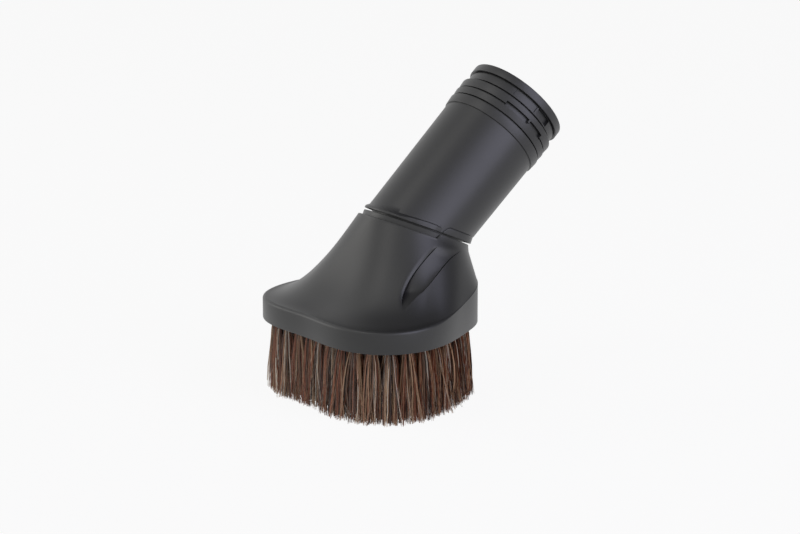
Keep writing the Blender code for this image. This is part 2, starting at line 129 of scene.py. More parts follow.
def moulded_abs(name, dark, pale):
    """Charcoal ABS with a satin tool texture, between two near tones."""
    material, tree, output = blank_material(name)
    place = add_node(tree, "ShaderNodeTexCoord").outputs["Object"]
    cloud = add_node(
        tree,
        "ShaderNodeTexNoise",
        {"Vector": place, "Scale": 1 / ABS_CLOUD, "Detail": 2.0, "Roughness": 0.5},
    )
    tone = add_node(
        tree,
        "ShaderNodeMix",
        {"Factor": cloud.outputs["Fac"], "A": linear(dark), "B": linear(pale)},
        data_type="RGBA",
    )
    satin = add_node(
        tree,
        "ShaderNodeMapRange",
        {"Value": cloud.outputs["Fac"], "To Min": ABS_ROUGHNESS[0], "To Max": ABS_ROUGHNESS[1]},
    )
    grain = add_node(
        tree,
        "ShaderNodeTexNoise",
        {"Vector": place, "Scale": 1 / ABS_GRAIN, "Detail": 3.0, "Roughness": 0.6},
    )
    relief = add_node(
        tree,
        "ShaderNodeBump",
        {"Height": grain.outputs["Fac"], "Strength": 0.5, "Distance": ABS_GRAIN_DEPTH},
    )
    shader = add_node(
        tree,
        "ShaderNodeBsdfPrincipled",
        {
            "Base Color": tone.outputs["Result"],
            "Roughness": satin.outputs["Result"],
            "Normal": relief.outputs["Normal"],
            "IOR": ABS_IOR,
        },
    )
    tree.links.new(shader.outputs["BSDF"], output.inputs["Surface"])
    return material


neck_abs = moulded_abs("moulded_abs_neck", "#1e1e1f", "#232324")
hood_abs = moulded_abs("moulded_abs_hood", "#1f1f1f", "#242424")
print("materials:", neck_abs.name, hood_abs.name)

# %% [markdown]
# Both mouldings are round forms whose section changes along their length, so each is made as a grid:
# hoops of points, one under the other, that close on themselves. Unlike a turned profile, a hoop may
# leave the circle wherever the moulding does. NumPy works out a whole hoop at once.

# %% Making a piece from hoops
SMOOTH_BELOW = math.radians(32)


def new_piece(name, points, faces, material, body):
    """A shaded mesh object that rides on a body of the frame."""
    mesh = bpy.data.meshes.new(name)
    mesh.from_pydata(points, [], faces)
    bm = bmesh.new()
    bm.from_mesh(mesh)
    bmesh.ops.recalc_face_normals(bm, faces=bm.faces)
    bm.to_mesh(mesh)
    bm.free()
    mesh.shade_smooth()
    mesh.set_sharp_from_angle(angle=SMOOTH_BELOW)
    mesh.materials.append(material)
    piece = bpy.data.objects.new(name, mesh)
    bpy.context.scene.collection.objects.link(piece)
    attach(piece, body)
    print(name, len(faces), "faces")
    return piece


def ring_faces(hoop_count, hoop_points):
    """Quads from each hoop to the next, and from the last hoop to the first."""
    upper, place = np.divmod(np.arange(hoop_count * hoop_points), hoop_points)
    lower = (upper + 1) % hoop_count
    beside = (place + 1) % hoop_points
    corners = (
        upper * hoop_points + place,
        upper * hoop_points + beside,
        lower * hoop_points + beside,
        lower * hoop_points + place,
    )
    return np.stack(corners, axis=1).tolist()


def columns(even_count, edges):
    """Angles round a hoop: evenly spaced ones, and two more beside each edge on both sides."""
    even = np.arange(even_count) * 360 / even_count
    beside = [side * (edge + step) for side in (1, -1) for edge, step in edges]
    merged = np.sort(np.concatenate([even, np.mod(beside, 360)]))
    apart = np.diff(merged, append=merged[0] + 360)
    return np.radians(merged[apart > 0.03])


def soft_step(value):
    """Goes from 0 to 1 as the value does, level at both ends."""
    share = np.clip(value, 0, 1)
    return share * share * (3 - 2 * share)


def rounded(corners, steps=4):
    """A profile with its corners rounded. Each corner is two coordinates and how far its fillet reaches."""
    line = []
    for i, (x, y, reach) in enumerate(corners):
        corner = Vector((x, y))
        if not reach:
            line.append(corner)
            continue
        start = corner + (Vector(corners[i - 1][:2]) - corner).normalized() * reach
        end = corner + (Vector(corners[i + 1][:2]) - corner).normalized() * reach
        for k in range(steps + 1):
            share = k / steps
            line.append(start.lerp(corner, share).lerp(corner.lerp(end, share), share))
    return [tuple(point) for point in line]


# %% [markdown]
# The neck and the hood meet on a slanted seam, halfway between upright and the slant of the tube. As
# both cuts are the same, the neck can turn a full circle on it, like a mitred stovepipe elbow. The
# frame's joint says where that seam is, and everything on the neck is measured from it: round the
# seam's own axis, round the axis of the tube, or where the tube's surface crosses a height.

# %% The seam and the tube
joint = frame["joints"][0]
SEAM_MIDDLE = Vector(joint["pos_m"])
SEAM_SLANT = math.atan2(joint["axis"][1], joint["axis"][2])
SEAM_PLACE = np.array(Matrix.Translation(SEAM_MIDDLE) @ Matrix.Rotation(-SEAM_SLANT, 4, "X"))


def placed(x, y, z):
    """Points in the seam's own frame, moved to where the seam is."""
    local = np.stack(np.broadcast_arrays(x, y, z), axis=-1)
    return local @ SEAM_PLACE[:3, :3].T + SEAM_PLACE[:3, 3]


def seam_hoop(radius, angle, height):
    return placed(radius * np.sin(angle), -radius * np.cos(angle), height)


def tube_hoop(radius, angle, along):
    back = along * math.sin(SEAM_SLANT) - radius * np.cos(angle) * math.cos(SEAM_SLANT)
    height = along * math.cos(SEAM_SLANT) + radius * np.cos(angle) * math.sin(SEAM_SLANT)
    return placed(radius * np.sin(angle), back, height)


def mitre_hoop(radius, angle, height):
    back = height * math.tan(SEAM_SLANT) - radius * np.cos(angle) / math.cos(SEAM_SLANT)
    return placed(radius * np.sin(angle), back, height)


print("seam at", [round(x / MM, 1) for x in SEAM_MIDDLE], "slant", round(math.degrees(SEAM_SLANT), 1))

# %% [markdown]
# The top of the tube is what the hand and the wand meet. It has a lip, a flat band and three grip
# ribs, and the tool leaves shallow pockets in the band and in the first rib so that the thick plastic
# cools without sinking. The profile is a list of corners with fillets. The pockets then lower the
# radius inside their own windows of angle and depth, with walls 0.1 mm wide.

# %% The end of the tube
NECK_LENGTH = 65.5 * MM
NECK_BOTTOM_RADIUS = 19.5 * MM
NECK_TOP_RADIUS = 20.3 * MM
SOCKET_BOTTOM_RADIUS = 17.2 * MM
SOCKET_TOP_RADIUS = 17.9 * MM
SOCKET_CHAMFER = 0.5 * MM
LIP_RADIUS = 20.4 * MM
LIP_HEIGHT = 3.25 * MM
LIP_GROOVE = 0.5 * MM
BAND_RADIUS = 19.6 * MM
BAND_END = 7.0 * MM
BAND_GROOVE_RADIUS = 18.9 * MM
RIB_TOP_RADIUS = 20.85 * MM
RIB_BOTTOM_RADIUS = 20.5 * MM
RIB_EDGE = 0.3 * MM
FIRST_RIB = 7.9 * MM
RIB_ENDS = (11.4 * MM, 15.0 * MM, 19.4 * MM)
RIB_NOTCH = 0.6 * MM
RIB_NOTCH_DEPTH = 0.7 * MM
RIB_FOOT = 0.08 * MM
POCKET_WALL = 0.1 * MM
# Each pocket: its edges in degrees from the toe, its depths below the rim, and the radius of its floor
POCKETS = (
    ((79.8, 102.0), (3.6 * MM, 6.4 * MM), BAND_RADIUS - 1.2 * MM),
    ((46.0, 77.3), (3.6 * MM, 6.5 * MM), BAND_RADIUS - 0.4 * MM),
    ((46.0, 77.3), (10.2 * MM, 12.3 * MM), RIB_TOP_RADIUS - 1.4 * MM),
    ((79.8, 102.8), (10.2 * MM, 12.3 * MM), RIB_TOP_RADIUS - 1.4 * MM),
)


def tube_radius(depth):
    return NECK_TOP_RADIUS + (NECK_BOTTOM_RADIUS - NECK_TOP_RADIUS) * depth / NECK_LENGTH


def tube_end_profile():
    """Radius and depth below the rim, from the socket's edge over the lip and down the ribs."""
    corners = [
        (SOCKET_TOP_RADIUS + SOCKET_CHAMFER, 0, 0),
        (LIP_RADIUS, 0, 0.4 * MM),
        (LIP_RADIUS, LIP_HEIGHT, 0.2 * MM),
        (BAND_RADIUS - LIP_GROOVE, LIP_HEIGHT + RIB_FOOT, 0),
        (BAND_RADIUS - LIP_GROOVE, LIP_HEIGHT + LIP_GROOVE, 0),
        (BAND_RADIUS, LIP_HEIGHT + LIP_GROOVE + RIB_FOOT, 0.1 * MM),
        (BAND_RADIUS, BAND_END, 0.2 * MM),
        (BAND_GROOVE_RADIUS, BAND_END + RIB_FOOT, 0),
        (BAND_GROOVE_RADIUS, FIRST_RIB - RIB_FOOT, 0),
    ]
    for i, bottom in enumerate(RIB_ENDS):
        top = RIB_ENDS[i - 1] + RIB_NOTCH if i else FIRST_RIB
        corners.append((RIB_TOP_RADIUS, top, RIB_EDGE))
        corners.append((RIB_BOTTOM_RADIUS, bottom, RIB_EDGE / 2))
        floor = RIB_BOTTOM_RADIUS - RIB_NOTCH_DEPTH
        if i < len(RIB_ENDS) - 1:
            corners.append((floor, bottom + RIB_FOOT, 0))
            corners.append((floor, bottom + RIB_NOTCH - RIB_FOOT, 0))
        else:
            corners.append((tube_radius(bottom), bottom + RIB_FOOT, 0))
    return corners


def from_toe(angle):
    """Degrees from the toe, either way round."""
    return np.abs(np.degrees(np.remainder(angle + math.pi, TURN) - math.pi))


def pocket_share(value, edges, wall):
    """1 between the edges, 0 outside them, with a straight wall at each edge."""
    inside = np.minimum(value - edges[0], edges[1] - value) / wall
    return np.clip(inside + 0.5, 0, 1)


def tube_end_hoops(angle):
    profile = rounded(tube_end_profile())
    depths = np.array([depth for _, depth in profile])
    radii = np.array([radius for radius, _ in profile])
    walls = [d + s * POCKET_WALL / 2 for _, edges, _ in POCKETS for d in edges for s in (-1, 1)]
    walls = [d for d in sorted(set(walls)) if np.abs(depths - d).min() > RIB_FOOT / 4]
    outside = depths >= 0
    radii = np.concatenate([radii, np.interp(walls, depths[outside], radii[outside])])
    depths = np.concatenate([depths, walls])
    order = np.argsort(depths, kind="stable")
    hoops = []
    for radius, depth in zip(radii[order], depths[order]):
        line = np.full(len(angle), radius)
        for edges, ends, floor in POCKETS:
            side = pocket_share(from_toe(angle), edges, math.degrees(POCKET_WALL / LIP_RADIUS))
            share = side * pocket_share(depth, ends, POCKET_WALL)
            line = line - share * np.maximum(line - floor, 0)
        hoops.append(tube_hoop(line, angle, NECK_LENGTH - depth))
    return hoops, depths.max()


# %% [markdown]
# The tube is round, but the seam is cut across it on the slant, so the tube meets the seam in an
# ellipse while the hood's rim is a circle. A collar makes up the difference. At the toe it is a plain
# slope down to the rim. Towards the side it turns into a low band along the tube, and the band fades
# out before the side is reached. The rear band starts at the seam with a small arch, low at first, and
# stands out as far as the rim at the heel. Each band is given by its top, its brim, and how far it
# stands out towards the rim.

# %% The foot of the tube
SEAM_GROOVE = 0.8 * MM
SEAM_GROOVE_DEPTH = 3.2 * MM
SEAM_RADIUS = 21.6 * MM
TUBE_FOOT = 4.2 * MM
COLLAR_BOTTOM = SEAM_GROOVE / 2
COLLAR_RELIEF = 0.1 * MM
# Degrees from the toe, the top and the brim over the seam, and the share of the way out to the rim
COLLAR_FRONT = np.array(
    (
        (30.0, 2.2 * MM, 1.0 * MM, 1.0),
        (44.0, 2.3 * MM, 1.9 * MM, 0.4),
        (60.0, 2.5 * MM, 2.2 * MM, 0.2),
        (70.0, 2.5 * MM, 2.2 * MM, 0.2),
        (78.0, 1.9 * MM, 1.6 * MM, 0.0),
        (81.0, COLLAR_BOTTOM, COLLAR_BOTTOM, 0.0),
    )
)
COLLAR_REAR_START = (81.0, 86.0)
# The rear band's top and brim, and its shares of the way out by degrees
COLLAR_REAR = (3.3 * MM, 2.9 * MM)
COLLAR_REAR_SHARE = ((86.0, 0.2), (100.0, 0.3), (125.0, 1.0))
# How far the brim's rounding reaches up the slope and down the band, as shares of them
COLLAR_CORNER = (0.5, 0.15)
COLLAR_STEPS = 4
TUBE_HOOPS = 16
NECK_COLUMNS = 288
NEAR_ARCH = (-0.05, 0.05, 0.15, 0.35)


def collar_lines(angle):
    """The collar's top and brim over the seam by angle, and the share of the way that it stands out."""
    degrees = from_toe(angle)
    span = COLLAR_REAR_START[1] - COLLAR_REAR_START[0]
    arch = np.sqrt(1 - np.clip((COLLAR_REAR_START[1] - degrees) / span, 0, 1) ** 2)
    is_rear = degrees > COLLAR_REAR_START[0]
    marks, *rows = COLLAR_FRONT.T
    front_top, front_brim, front_share = (np.interp(degrees, marks, row) for row in rows)
    rear_top, rear_brim = (COLLAR_BOTTOM + (height - COLLAR_BOTTOM) * arch for height in COLLAR_REAR)
    return (
        np.where(is_rear, rear_top, front_top),
        np.where(is_rear, rear_brim, front_brim),
        np.where(is_rear, np.interp(degrees, *zip(*COLLAR_REAR_SHARE)), front_share),
    )


def foot_hoop(angle, height, share):
    """The foot's surface at a height over the seam, a share of the way from the tube to the rim."""
    share = share[:, None]
    rim = seam_hoop(SEAM_RADIUS - COLLAR_RELIEF, angle, height)
    return mitre_hoop(NECK_BOTTOM_RADIUS, angle, height) * (1 - share) + rim * share


def foot_hoops(angle):
    """From the plain tube over the collar's top, round its brim and down to the seam."""
    top, brim, share = collar_lines(angle)
    none = 0 * share
    hoops = [foot_hoop(angle, TUBE_FOOT + none, none), foot_hoop(angle, top, none)]
    above = brim + (top - brim) * COLLAR_CORNER[0]
    below = brim + (COLLAR_BOTTOM - brim) * COLLAR_CORNER[1]
    for i in range(COLLAR_STEPS + 1):
        turn = i / COLLAR_STEPS
        height = above * (1 - turn) ** 2 + 2 * brim * turn * (1 - turn) + below * turn**2
        out = share * (1 - COLLAR_CORNER[0] * (1 - turn) ** 2)
        hoops.append(foot_hoop(angle, height, out))
    hoops.append(foot_hoop(angle, (below + COLLAR_BOTTOM) / 2, share))
    hoops.append(foot_hoop(angle, COLLAR_BOTTOM + none, share))
    return hoops


# %% [markdown]
# Below the seam a spigot runs in the hood's bore, with a groove for the split ring that holds it
# there. It is out of sight, but without it the seam would show an empty slot when the neck is seen
# from inside. The socket's bore then closes the form back to the rim.

# %% The neck
SPIGOT_RADIUS = 18.0 * MM
SPIGOT_BORE_RADIUS = 16.2 * MM
SPIGOT_GROOVE_RADIUS = 17.1 * MM
SPIGOT_GROOVE_HEIGHTS = (-3.45 * MM, -5.55 * MM)
SPIGOT_END = -6.85 * MM
FIT_GAP = 0.3 * MM


def neck_hoops(angle):
    hoops, last_depth = tube_end_hoops(angle)
    upper = tube_hoop(tube_radius(last_depth), angle, NECK_LENGTH - last_depth)
    foot = foot_hoops(angle)
    for i in range(1, TUBE_HOOPS):
        share = i / TUBE_HOOPS
        hoops.append(upper * (1 - share) + foot[0] * share)
    hoops += foot
    groove_floor = SEAM_RADIUS - SEAM_GROOVE_DEPTH
    spigot = (
        (groove_floor, COLLAR_BOTTOM),
        (groove_floor, FIT_GAP / 2),
        (SPIGOT_RADIUS, FIT_GAP / 2),
        (SPIGOT_RADIUS, SPIGOT_GROOVE_HEIGHTS[0]),
        (SPIGOT_GROOVE_RADIUS, SPIGOT_GROOVE_HEIGHTS[0]),
        (SPIGOT_GROOVE_RADIUS, SPIGOT_GROOVE_HEIGHTS[1]),
        (SPIGOT_RADIUS, SPIGOT_GROOVE_HEIGHTS[1]),
        (SPIGOT_RADIUS - FIT_GAP, SPIGOT_END),
        (SPIGOT_BORE_RADIUS, SPIGOT_END),
        (SPIGOT_BORE_RADIUS, -FIT_GAP),
    )
    hoops += [seam_hoop(radius, angle, height) for radius, height in spigot]
    hoops.append(mitre_hoop(SOCKET_BOTTOM_RADIUS, angle, COLLAR_REAR[0]))
    hoops.append(tube_hoop(SOCKET_TOP_RADIUS, angle, NECK_LENGTH - SOCKET_CHAMFER))
    return np.array(hoops)


def neck_columns():
    wall = math.degrees(POCKET_WALL / LIP_RADIUS)
    pocket_edges = sorted({edge for edges, _, _ in POCKETS for edge in edges})
    edges = [(edge, side * wall / 2) for edge in pocket_edges for side in (-1, 1)]
    edges += [(edge, 0) for edge in (*COLLAR_FRONT[:, 0], COLLAR_REAR_START[1])]
    edges += [(COLLAR_REAR_START[0], step) for step in NEAR_ARCH]
    return columns(NECK_COLUMNS, edges)


neck_angles = neck_columns()
neck_grid = neck_hoops(neck_angles)
neck = new_piece(
    "neck_moulding",
    neck_grid.reshape(-1, 3).tolist(),
    ring_faces(*neck_grid.shape[:2]),
    neck_abs,
    "neck",
)
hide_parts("neck_tube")

# %% [markdown]
# The hood is the hard form: a round top on a slant that flares down into a foot shaped like the sole
# of a slipper, blunt at the toe. Its outline is a circle with four cosine terms, which is smooth and
# takes five numbers. Each column of points runs from the seam down a curve that starts along the
# seam's axis and ends level with the foot's rim, as a draughtsman would sweep it with a spline.

# %% The hood's outline and wall
OUTLINE_TERMS = (39.1 * MM, 9.4 * MM, -1.2 * MM, -3.2 * MM, -2.3 * MM)
SEAM_TO_HEEL = 11.5 * MM
BASE_SHIFT = SEAM_MIDDLE.y - SEAM_TO_HEEL
SKIRT_BOTTOM = 28.1 * MM
SKIRT_TOP = 36.7 * MM
SKIRT_LOW_POINT = -32.8 * MM
SKIRT_RISE = 2.1 / 1000 / MM
SKIRT_EDGE = 1.2 * MM
STEEP_EDGE_SHARE = 0.12
WALL = 2.4 * MM
SHOULDER_RADIUS = 21.6 * MM
SHOULDER_TOE_FLARE = 1.4 * MM
SHOULDER_SET_BACK = 0.9 * MM
SHOULDER_DEPTH = 2.7 * MM
HOOD_INNER_RADIUS = 20.1 * MM
LEDGE_DEPTH = 3.45 * MM
FLARE = 0.36
STRAIGHT = 0.6
LEVEL_REACH = (7.0 * MM, 18.0 * MM)


def outline_hoop(angle, inset, height):
    """Points on the foot's outline, moved in square to it."""
    radius = sum(term * np.cos(i * angle) for i, term in enumerate(OUTLINE_TERMS))
    slope = -sum(term * i * np.sin(i * angle) for i, term in enumerate(OUTLINE_TERMS))
    sine, cosine = np.sin(angle), np.cos(angle)
    along_x = slope * sine + radius * cosine
    along_y = radius * sine - slope * cosine
    length = np.hypot(along_x, along_y)
    x = radius * sine - inset * along_y / length
    y = -radius * cosine + inset * along_x / length
    return np.stack(np.broadcast_arrays(x, y + BASE_SHIFT, height), axis=-1)


def skirt_height(angle):
    """The foot's top edge is low at the toe and sweeps up towards the heel as a parabola."""
    along = outline_hoop(angle, 0, 0)[..., 1] - BASE_SHIFT
    return SKIRT_TOP + SKIRT_RISE * (along - SKIRT_LOW_POINT) ** 2


def outward(angle):
    """Directions square to the foot's outline."""
    out = outline_hoop(angle, 0, 0) - outline_hoop(angle, 1 * MM, 0)
    return out / np.linalg.norm(out, axis=-1, keepdims=True)


def foot_reach(angle, start, end):
    """How far out the foot reaches from the seam, and from 0 to 1 how level the wall gets there."""
    reach = np.maximum(((end - start) * outward(angle)).sum(-1, keepdims=True), 0)
    return reach, soft_step((reach - LEVEL_REACH[0]) / (LEVEL_REACH[1] - LEVEL_REACH[0]))


def wall_hoop(angle, step, start, end):
    """Points on a wall: straight from the seam, then flared out to the foot.

    It ends level where the foot reaches far out. Where it doesn't, the wall runs down to it on a slope.
    """
    reach, level = foot_reach(angle, start, end)
    turn = end - (outward(angle) * reach * level + (end - start) * (1 - level)) * FLARE
    middle = start + (turn - start) * STRAIGHT
    rest = 1 - step
    return rest**3 * start + 3 * rest**2 * step * middle + 3 * rest * step**2 * turn + step**3 * end


def shoulder_radius(angle):
    """The shoulder stands out at the toe."""
    return SHOULDER_RADIUS + SHOULDER_TOE_FLARE * (1 + np.cos(angle)) / 2


def skirt_edge(angle):
    """The radius of the foot's top edge, which is small where the wall runs down steeply."""
    start = seam_hoop(SHOULDER_RADIUS, angle, -SHOULDER_DEPTH)
    level = foot_reach(angle, start, outline_hoop(angle, 0, 0))[1]
    return SKIRT_EDGE * (STEEP_EDGE_SHARE + (1 - STEEP_EDGE_SHARE) * level[..., 0])


def outer_wall_hoop(angle, step):
    start = seam_hoop(shoulder_radius(angle), angle, -SHOULDER_DEPTH)
    end = outline_hoop(angle, skirt_edge(angle), skirt_height(angle))
    return wall_hoop(angle, step, start, end)


def inner_wall_hoop(angle, step):
    start = seam_hoop(HOOD_INNER_RADIUS, angle, -LEDGE_DEPTH)
    end = outline_hoop(angle, WALL + SKIRT_EDGE, skirt_height(angle) - WALL)
    return wall_hoop(angle, step, start, end)


# %% [markdown]
# Thumb and finger hold the hood at two grips, one on each side. Each is a facet shaped like a leaf.
# It starts near the seam and sweeps down and forward to a point. The facet is steeper than the wall,
# so it lies deeper towards its foot, where it comes out again in a soft scoop. Its front edge is a
# crisp step with a soft bevel outside it, and a fine groove runs along both edges. A crisp slanted edge
# needs points along it, so the columns bend: they lean over to follow the grip's two edges, and
# straighten again below its tip.

# %% The finger grips
GRIP_TIP_STEP = 0.6
GRIP_REACH = 0.5
GRIP_TIP_ANGLE = 59.5
GRIP_SWEEP = 25.0
GRIP_HALF_WIDTH = 14.6
GRIP_TAPER = 0.8
GRIP_NARROWEST = 1.2
# Columns at these degrees follow the grip's front and rear edges, and those at the last two stay put
GRIP_FRONT = 70.0
GRIP_REAR = 99.0
GRIP_SPAN = (30.0, 140.0)
GRIP_DEPTHS = (0.25 * MM, 2.9 * MM)
GRIP_DEPTH_STEPS = (0.05, 0.40)
GRIP_REAR_SHARE = 0.45
GRIP_HOLLOW = 0.2 * MM
GRIP_BEVEL = 4.5
GRIP_BEVEL_DEPTH = 0.45 * MM
GRIP_STEP_WIDTH = 0.2
GRIP_TOP_STEPS = (0.05, 0.08)
GRIP_TOP_SOFTNESS = 0.12
GRIP_FADE_STEPS = (0.37, 0.62)
CREASE_DEPTH = 0.35 * MM
CREASE_WIDTH = 0.45
REAR_CREASE_STEPS = (0.06, 0.1, 0.4, 0.44)
FRONT_CREASE_STEPS = (0.05, 0.08, 0.42, 0.55)


def grip_edges(step):
    """Where the grip's front and rear edges are at a step down the wall, in degrees from the toe."""
    left = np.clip((GRIP_TIP_STEP - step) / GRIP_REACH, 0, 1.1)
    middle = GRIP_TIP_ANGLE + GRIP_SWEEP * left**2
    half = np.maximum(GRIP_HALF_WIDTH * left**GRIP_TAPER, GRIP_NARROWEST)
    back_to_even = soft_step((step - GRIP_TIP_STEP) / (1 - GRIP_TIP_STEP))
    front = (middle - half) + (GRIP_FRONT - middle + half) * back_to_even
    rear = (middle + half) + (GRIP_REAR - middle - half) * back_to_even
    return front, rear


def leaning_angles(angle, step):
    """The angles of the columns at a step down the wall, leaning over to follow the grips."""
    degrees = from_toe(angle)
    front, rear = grip_edges(step)
    known = (0, GRIP_SPAN[0], GRIP_FRONT, GRIP_REAR, GRIP_SPAN[1], 180)
    moved = np.interp(degrees, known, (0, GRIP_SPAN[0], front, rear, GRIP_SPAN[1], 180))
    side = np.where(np.remainder(angle, TURN) > math.pi, -1, 1)
    return side * np.radians(moved)


def grip_depth(angle, step):
    """How far the grip lowers the wall, by column and by step down the wall."""
    degrees = from_toe(angle)
    front, rear = grip_edges(step)
    across = np.clip((degrees - GRIP_FRONT) / (GRIP_REAR - GRIP_FRONT), 0, 1)
    width = (rear - front) / (2 * GRIP_HALF_WIDTH)
    facet = np.interp(step, GRIP_DEPTH_STEPS, GRIP_DEPTHS) * (1 + (GRIP_REAR_SHARE - 1) * across)
    facet = facet + 4 * GRIP_HOLLOW * width * across * (1 - across)
    inside = np.minimum(degrees - GRIP_FRONT, GRIP_REAR - degrees) / GRIP_STEP_WIDTH
    inside = np.clip(inside + 0.5, 0, 1)
    bevel = np.clip(1 + (degrees - GRIP_FRONT) / GRIP_BEVEL, 0, 1)
    bevel = GRIP_BEVEL_DEPTH * bevel**2 * (degrees < GRIP_FRONT + GRIP_STEP_WIDTH)
    softness = GRIP_TOP_STEPS[1] - GRIP_TOP_STEPS[0] + GRIP_TOP_SOFTNESS * across
    top = soft_step((step - GRIP_TOP_STEPS[0]) / softness)
    fade = 1 - soft_step((step - GRIP_FADE_STEPS[0]) / (GRIP_FADE_STEPS[1] - GRIP_FADE_STEPS[0]))
    crease = 0
    for line, steps in ((GRIP_REAR, REAR_CREASE_STEPS), (GRIP_FRONT + CREASE_WIDTH, FRONT_CREASE_STEPS)):
        near_line = np.clip(1 - np.abs(degrees - line) / CREASE_WIDTH, 0, 1)
        crease = crease + CREASE_DEPTH * near_line * np.interp(step, steps, (0, 1, 1, 0))
    return (facet * inside + bevel * (1 - inside)) * top * fade + crease


# %% [markdown]
# Under the seam a narrow lip stands back from the hood on its toe side. It ends in a slant just in
# front of each grip. From there back the wall comes right up to the seam. The foot has a rounded top
# edge that catches a soft line of light, a flat face, and a small radius where the mould parts.

# %% The hood
HOOD_LIP_RADIUS = 21.2 * MM
HOOD_LIP_HEIGHT = 2.0 * MM
HOOD_LIP_ENDS = (73.0, 76.0)
HOOD_EDGE = 0.25 * MM
HOOD_CORNER = 0.12 * MM
FOOT_CORNER = 0.4 * MM
# Where the middle of a rounded corner lies, as a share of its radius
CORNER_MIDDLE = 0.3
SEAT_DROP = 0.2 * MM
WALL_HOOPS = 84
INNER_HOOPS = 16
ROUND_HOOPS = 7
LIP_HOOPS = 4
HOOD_COLUMNS = 432
# Extra columns, in degrees from the grip's edges
NEAR_GRIP_FRONT = (-2.2, -1.1, -0.5, -0.1, 0.1, 0.28, 0.45, 0.67, 0.9, 1.3)
NEAR_GRIP_REAR = (-0.8, -0.45, -0.1, 0.0, 0.1, 0.45, 0.8)


def hood_top_hoops(angle):
    """Up the bore, over the rim that faces the seam and down the lip to the shoulder."""
    bore = SPIGOT_RADIUS + FIT_GAP
    groove_floor = SEAM_RADIUS - SEAM_GROOVE_DEPTH
    top = -SEAM_GROOVE / 2
    lip_share = 1 - np.clip(
        (from_toe(angle) - HOOD_LIP_ENDS[0]) / (HOOD_LIP_ENDS[1] - HOOD_LIP_ENDS[0]), 0, 1
    )
    foot = top - HOOD_LIP_HEIGHT * lip_share
    shoulder = shoulder_radius(angle)
    bare = SHOULDER_RADIUS - SHOULDER_SET_BACK * ((1 - np.cos(angle)) / 2) ** 2
    edge = bare + (shoulder - bare) * lip_share
    rim = np.minimum(edge, HOOD_LIP_RADIUS)
    hoops = [
        (bore, -LEDGE_DEPTH),
        (bore, -FIT_GAP / 2),
        (groove_floor, -FIT_GAP / 2),
        (groove_floor, top),
        (rim - HOOD_CORNER, top),
        (rim, top - HOOD_CORNER * lip_share),
        (rim, foot),
    ]
    for i in range(LIP_HOOPS + 1):
        turn = i / LIP_HOOPS * math.pi / 2
        hoops.append((edge - HOOD_EDGE * (1 - math.sin(turn)), foot - HOOD_EDGE * (1 - math.cos(turn))))
    return [seam_hoop(radius, angle, height) for radius, height in hoops]


def hood_wall_hoops(angle):
    """Down the outer wall, with the grips pressed in square to it."""
    steps = np.linspace(0, 1, WALL_HOOPS + 1)
    smooth = np.array([outer_wall_hoop(leaning_angles(angle, step), step) for step in steps])
    down = np.gradient(smooth, axis=0)
    round_about = np.roll(smooth, -1, axis=1) - np.roll(smooth, 1, axis=1)
    inward = np.cross(round_about, down)
    inward /= np.linalg.norm(inward, axis=-1, keepdims=True)
    depth = np.array([grip_depth(angle, step) for step in steps])
    centre = smooth.mean(axis=1, keepdims=True)
    facing = np.sign(((centre - smooth) * inward).sum(-1, keepdims=True))
    return list(smooth + inward * facing * depth[..., None])


def hood_foot_hoops(angle):
    """Round the foot's top edge, down its face, and round its lower corners to the inside."""
    height = skirt_height(angle)
    edge = skirt_edge(angle)
    hoops = []
    for i in range(1, ROUND_HOOPS + 1):
        turn = i / ROUND_HOOPS * math.pi / 2
        hoops.append((edge * (1 - math.sin(turn)), height - edge * (1 - math.cos(turn))))
    corners = (
        (0, SKIRT_BOTTOM + FOOT_CORNER),
        (FOOT_CORNER * CORNER_MIDDLE, SKIRT_BOTTOM + FOOT_CORNER * CORNER_MIDDLE),
        (FOOT_CORNER, SKIRT_BOTTOM),
        (WALL - FOOT_CORNER, SKIRT_BOTTOM),
        (WALL, SKIRT_BOTTOM + FOOT_CORNER),
        (WALL, height - WALL - SEAT_DROP),
    )
    return [outline_hoop(angle, inset, z) for inset, z in (*hoops, *corners)]


def hood_hoops(angle):
    hoops = hood_top_hoops(leaning_angles(angle, 0))
    hoops += hood_wall_hoops(angle)
    hoops += hood_foot_hoops(leaning_angles(angle, 1))
    for i in range(INNER_HOOPS + 1):
        hoops.append(inner_wall_hoop(angle, 1 - i / INNER_HOOPS))
    return np.array(hoops)


def hood_columns():
    edges = [(GRIP_FRONT, step) for step in NEAR_GRIP_FRONT]
    edges += [(GRIP_REAR, step) for step in NEAR_GRIP_REAR]
    return columns(HOOD_COLUMNS, edges)


hood_angles = hood_columns()
hood_grid = hood_hoops(hood_angles)
hood = new_piece(
    "hood_moulding",
    hood_grid.reshape(-1, 3).tolist(),
    ring_faces(*hood_grid.shape[:2]),
    hood_abs,
    "head",
)
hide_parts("hood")

# %% [markdown]
# Horsehair is a natural fibre, so no two hairs match. It runs from nearly black through chestnut to
# a bleached tan. Each hair is dark and glossy along its length because of its flat scales. A noise
# stretched along the hair shifts the tone from strand to strand.

# %% Horsehair
HAIR_STREAK = 0.5 * MM
HAIR_STREAK_LENGTH = 18 * MM
STREAK_SPREAD = (0.3, 0.7)
HAIR_ROUGHNESS = 0.45
HAIR_IOR = 1.55


